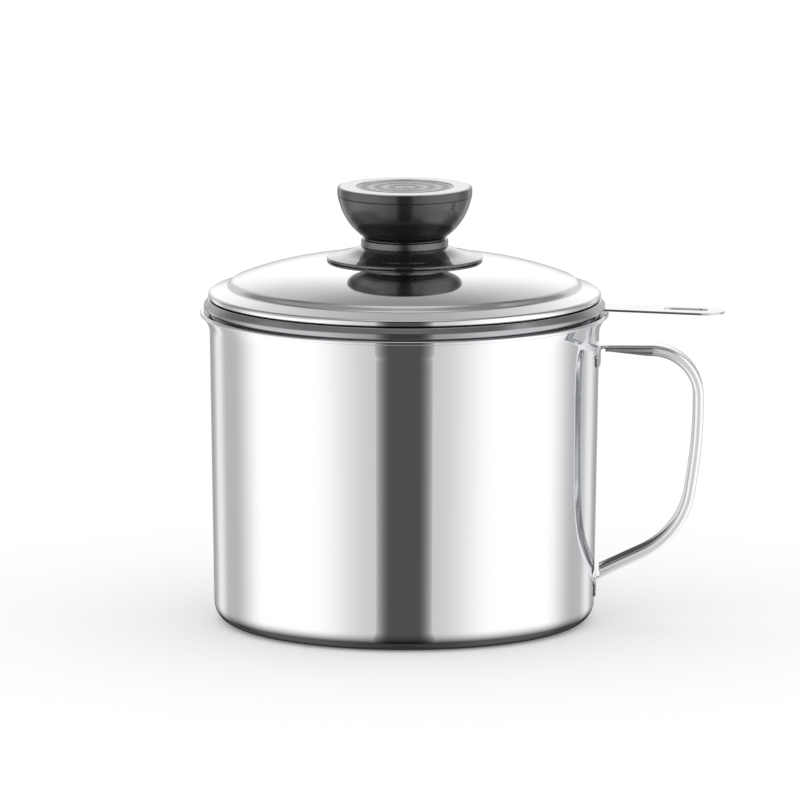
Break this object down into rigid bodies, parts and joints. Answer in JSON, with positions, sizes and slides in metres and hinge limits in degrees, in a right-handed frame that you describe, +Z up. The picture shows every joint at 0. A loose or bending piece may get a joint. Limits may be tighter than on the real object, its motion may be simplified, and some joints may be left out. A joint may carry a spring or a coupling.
{
  "type": "grease container",
  "caption": "Polished steel pot with a strap handle, a lift-out strainer resting in its flared rim and a domed lid with a turned knob, for keeping strained cooking fat.",
  "frame": {"origin": "centre of the pot's flat base, on the surface it stands on", "axes": "+Z up, along the pot's axis; +X towards the pot's handle and the strainer's handle; the object is symmetric about the XZ plane"},
  "size_m": [0.1604, 0.125, 0.1342],
  "materials": {
    "polished_steel": "mirror-polished stainless steel",
    "steel_mesh": "woven stainless wire",
    "black_phenolic": "moulded, satin",
    "brass": "machined",
    "plated_steel": "zinc plated"
  },
  "bodies": {
    "pot": {"pot_body": "polished_steel", "pot_handle": "polished_steel"},
    "strainer": {"strainer_rim": "polished_steel", "strainer_mesh": "steel_mesh", "strainer_hoop": "polished_steel", "strainer_handle": "polished_steel"},
    "lid": {"lid_shell": "polished_steel", "knob_skirt": "black_phenolic", "knob_collar": "polished_steel", "knob_body": "black_phenolic", "knob_bezel": "black_phenolic", "knob_cap_plate": "polished_steel", "knob_insert": "brass", "knob_washer": "plated_steel", "knob_screw": "plated_steel"}
  },
  "joints": [
    {"name": "strainer_lift", "type": "slide", "parent": "pot", "child": "strainer", "axis": [0, 0, 1], "range_m": [0, 0.05]},
    {"name": "lid_lift", "type": "slide", "parent": "strainer", "child": "lid", "axis": [0, 0, 1], "range_m": [0, 0.05]}
  ]
}
